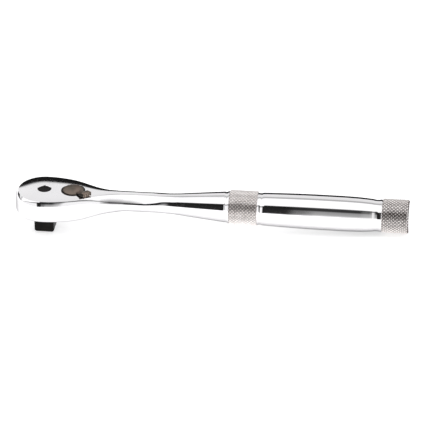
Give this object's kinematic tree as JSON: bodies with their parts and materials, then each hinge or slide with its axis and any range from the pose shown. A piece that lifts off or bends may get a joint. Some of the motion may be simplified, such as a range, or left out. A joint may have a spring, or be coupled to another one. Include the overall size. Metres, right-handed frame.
{
  "type": "ratchet wrench",
  "caption": "Reversible ratchet wrench with a pear head, square drive with release button, thumb lever and round knurled handle.",
  "frame": {"origin": "centre of the end face of the square drive, on the drive axis", "axes": "+Z along the drive axis from the square towards the reversing lever, +X along the handle towards its end, +Y to the left of the handle seen from above"},
  "size_m": [0.1903, 0.028, 0.0256],
  "materials": {
    "chrome_forging": "polished chrome plate",
    "plate_steel": "satin plated steel",
    "dark_screw": "black oxide",
    "black_steel": "black oxide hardened steel",
    "lever_steel": "satin cast steel",
    "bright_steel": "ground steel",
    "seal_rubber": "moulded"
  },
  "bodies": {
    "wrench": {"handle_body": "chrome_forging", "cover_plate": "plate_steel", "cover_screw_1": "dark_screw", "cover_screw_2": "dark_screw", "cover_screw_3": "dark_screw", "thrust_washer": "bright_steel", "drive_seal_ring": "seal_rubber"},
    "drive": {"drive_gear": "black_steel", "release_spring": "bright_steel"},
    "release": {"release_button": "black_steel", "release_pin": "bright_steel"},
    "ball": {"retaining_ball": "bright_steel"},
    "lever": {"reversing_lever": "lever_steel", "lever_o_ring": "seal_rubber", "lever_retaining_ring": "bright_steel", "detent_ball": "bright_steel", "detent_spring": "bright_steel"},
    "rocker": {"pawl": "black_steel"}
  },
  "joints": [
    {"name": "drive_spin", "type": "hinge", "parent": "wrench", "child": "drive", "pos_m": [0, 0, 0.0146], "axis": [0, 0, 1], "continuous": true},
    {"name": "button_press", "type": "slide", "parent": "drive", "child": "release", "axis": [0, 0, -1], "range_m": [0, 0.0024], "stiffness_N_per_m": 800, "springref_m": -0.003, "deforming": ["release_spring"]},
    {"name": "ball_sink", "type": "slide", "parent": "drive", "child": "ball", "axis": [0, -1, 0], "range_m": [0, 0.0007]},
    {"name": "lever_swing", "type": "hinge", "parent": "wrench", "child": "lever", "pos_m": [0.014, 0, 0.0199], "axis": [0, 0, 1], "range_deg": [0, 76]},
    {"name": "pawl_rock", "type": "hinge", "parent": "wrench", "child": "rocker", "pos_m": [0.014, 0, 0.0141], "axis": [0, 0, 1], "range_deg": [-7.6, 0]}
  ],
  "couplings": [
    {"joint": "ball_sink", "follows": "button_press", "ratio": 0.29},
    {"joint": "pawl_rock", "follows": "lever_swing", "ratio": -0.1}
  ]
}
